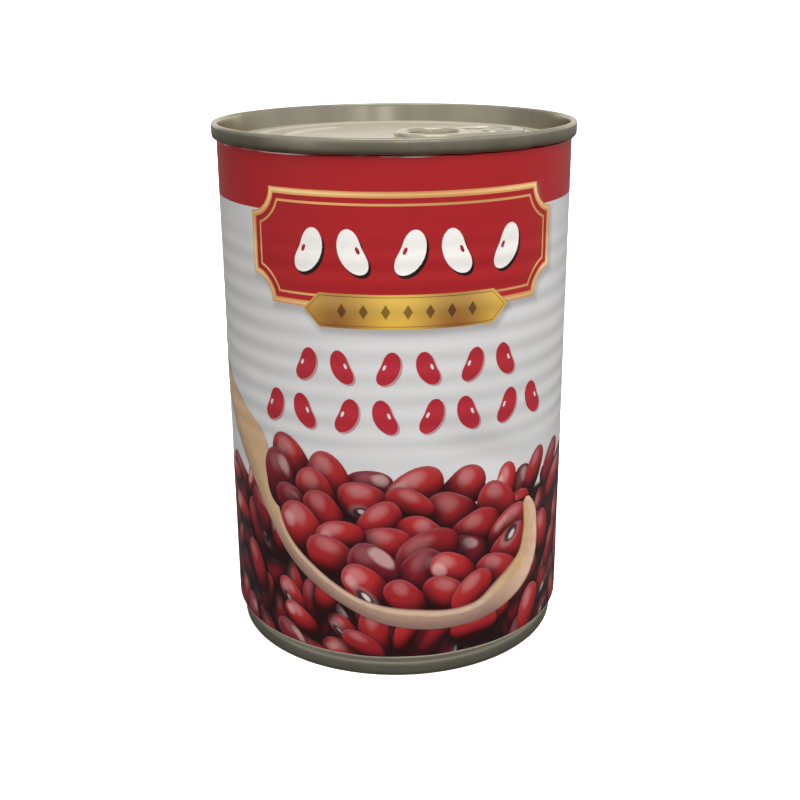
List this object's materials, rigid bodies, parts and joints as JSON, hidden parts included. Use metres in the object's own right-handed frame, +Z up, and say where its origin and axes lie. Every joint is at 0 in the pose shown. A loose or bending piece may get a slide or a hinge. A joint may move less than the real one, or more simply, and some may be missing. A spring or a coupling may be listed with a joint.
{
  "type": "canned beans",
  "caption": "Upright steel food can of red kidney beans with a ring-pull lid, a necked foot and a wrapped paper label printed with beans and a wooden spoon.",
  "frame": {"origin": "centre of the foot, on the surface that the can stands on", "axes": "+Z up along the can's axis, -Y out of the middle of the label's front, +X to the right of someone who faces that front"},
  "size_m": [0.0748, 0.0748, 0.11],
  "materials": {
    "body_steel": "dull tinplate",
    "lid_steel": "tinplate with a pale warm lacquer",
    "tab_steel": "bright tinplate",
    "label_paper": "coated paper, printed red and white, low gloss"
  },
  "bodies": {
    "root": {"can_body": "body_steel", "label": "label_paper", "end_top": "lid_steel", "end_bottom": "body_steel", "pull_tab": "tab_steel", "rivet": "tab_steel"}
  },
  "joints": []
}
